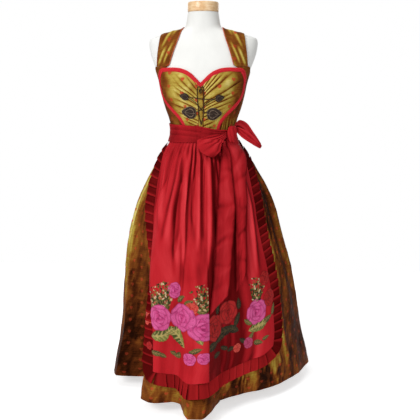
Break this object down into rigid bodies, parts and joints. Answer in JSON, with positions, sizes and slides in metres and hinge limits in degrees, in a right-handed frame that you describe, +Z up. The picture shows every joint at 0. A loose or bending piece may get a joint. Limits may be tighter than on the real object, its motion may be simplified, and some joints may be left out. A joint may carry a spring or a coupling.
{
  "type": "dirndl on dress form",
  "caption": "Sleeveless long dirndl with a gathered heart bodice, ruffled apron and side bow, worn by a limbless dress form on a pole and round base.",
  "frame": {"origin": "centre of the base plate's underside, on the floor", "axes": "+Z up along the pole, -Y towards the front of the garment, +X to the side that carries the bow"},
  "size_m": [0.7746, 0.8877, 1.427],
  "materials": {
    "taffeta": "changeant taffeta, olive gold and copper brown, with small red hearts",
    "apron_satin": "crimson satin with a rose border",
    "ribbed_tape": "ribbed red trimming tape with picot edges",
    "piping_cord": "orange-red covered cord",
    "pewter_thread": "dark pewter embroidery thread",
    "form_cloth": "off-white stretched jersey",
    "light_wood": "satin varnish",
    "steel": "brushed"
  },
  "bodies": {
    "root": {"form_torso": "form_cloth", "form_neck_cap": "light_wood", "form_base": "steel", "form_pole": "steel", "bodice_front_left": "taffeta", "bodice_front_right": "taffeta", "bodice_side_left": "taffeta", "bodice_side_right": "taffeta", "bodice_back_left": "taffeta", "bodice_back_right": "taffeta", "strap_left": "taffeta", "strap_right": "taffeta", "strap_piping_left": "piping_cord", "strap_piping_right": "piping_cord", "heart_tape_left": "ribbed_tape", "heart_tape_right": "ribbed_tape", "placket": "taffeta", "leaf_large_left": "pewter_thread", "leaf_large_right": "pewter_thread", "leaf_small_left": "pewter_thread", "leaf_small_right": "pewter_thread", "skirt_front": "taffeta", "skirt_side_right": "taffeta", "skirt_back": "taffeta", "skirt_side_left": "taffeta", "apron": "apron_satin", "ruffle_left": "apron_satin", "ruffle_bottom": "apron_satin", "ruffle_right": "apron_satin", "sash": "apron_satin", "bow_knot": "apron_satin", "bow_loop_right": "apron_satin", "bow_loop_left": "apron_satin", "bow_tail_left": "apron_satin", "bow_tail_right": "apron_satin"}
  },
  "joints": []
}
